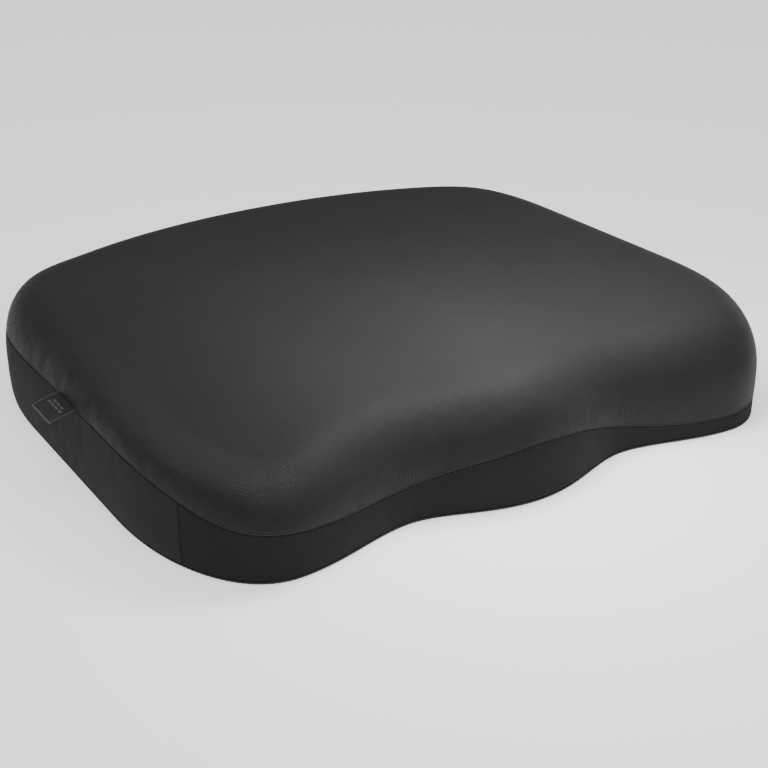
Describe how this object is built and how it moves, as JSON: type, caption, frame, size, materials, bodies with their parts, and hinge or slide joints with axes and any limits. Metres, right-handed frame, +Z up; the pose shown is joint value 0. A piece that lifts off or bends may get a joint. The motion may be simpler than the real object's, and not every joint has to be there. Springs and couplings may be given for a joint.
{
  "type": "seat cushion",
  "caption": "Contoured foam seat cushion with a wave-shaped front edge, rolled top panel, side bands and a rear zip with a sliding puller.",
  "frame": {"origin": "on the resting surface, under the middle of the cushion's plan outline (halfway across its width and depth)", "axes": "+Z up out of the sitting surface, -Y towards the wave-shaped front edge, +X towards the sitter's left hand when seated facing the front"},
  "size_m": [0.4651, 0.3996, 0.0799],
  "materials": {
    "foam": "matte",
    "liner": "matte",
    "top_knit": "matte",
    "front_band_knit": "matte",
    "side_band_knit": "matte",
    "bottom_fabric": "matte",
    "seam_thread": "matte",
    "zip_tape": "matte",
    "zip_coil": "satin",
    "zip_metal": "satin",
    "woven_label": "matte",
    "care_ribbon": "satin"
  },
  "bodies": {
    "cushion": {"foam_core": "foam", "liner_top": "liner", "liner_bottom": "liner", "top_panel": "top_knit", "front_band": "front_band_knit", "left_band": "side_band_knit", "right_band": "side_band_knit", "rear_band_upper": "side_band_knit", "rear_band_lower": "side_band_knit", "bottom_panel": "bottom_fabric", "top_seam": "seam_thread", "bottom_seam": "seam_thread", "band_seam_front_left": "seam_thread", "band_seam_front_right": "seam_thread", "band_seam_rear_left": "seam_thread", "band_seam_rear_right": "seam_thread", "zip_tape_upper": "zip_tape", "zip_tape_lower": "zip_tape", "zip_coil_upper": "zip_coil", "zip_coil_lower": "zip_coil", "zip_stop_closed_end": "zip_metal", "zip_stop_open_end": "zip_metal", "care_label": "care_ribbon"},
    "slider": {"zip_slider": "zip_metal"},
    "pull": {"zip_pull": "zip_metal"},
    "label": {"side_label": "woven_label"}
  },
  "joints": [
    {"name": "zip_travel", "type": "hinge", "parent": "cushion", "child": "slider", "pos_m": [0, -0.24, 0.022], "axis": [0, 0, 1], "range_deg": [0, 34.3]},
    {"name": "pull_swing", "type": "hinge", "parent": "slider", "child": "pull", "pos_m": [0.13069, 0.1826, 0.022], "axis": [0, 0, -1], "range_deg": [0, 175]},
    {"name": "label_flip", "type": "hinge", "parent": "cushion", "child": "label", "pos_m": [-0.22283, -0.0185, 0.05056], "axis": [0, 1, 0], "range_deg": [-55, 75]}
  ]
}
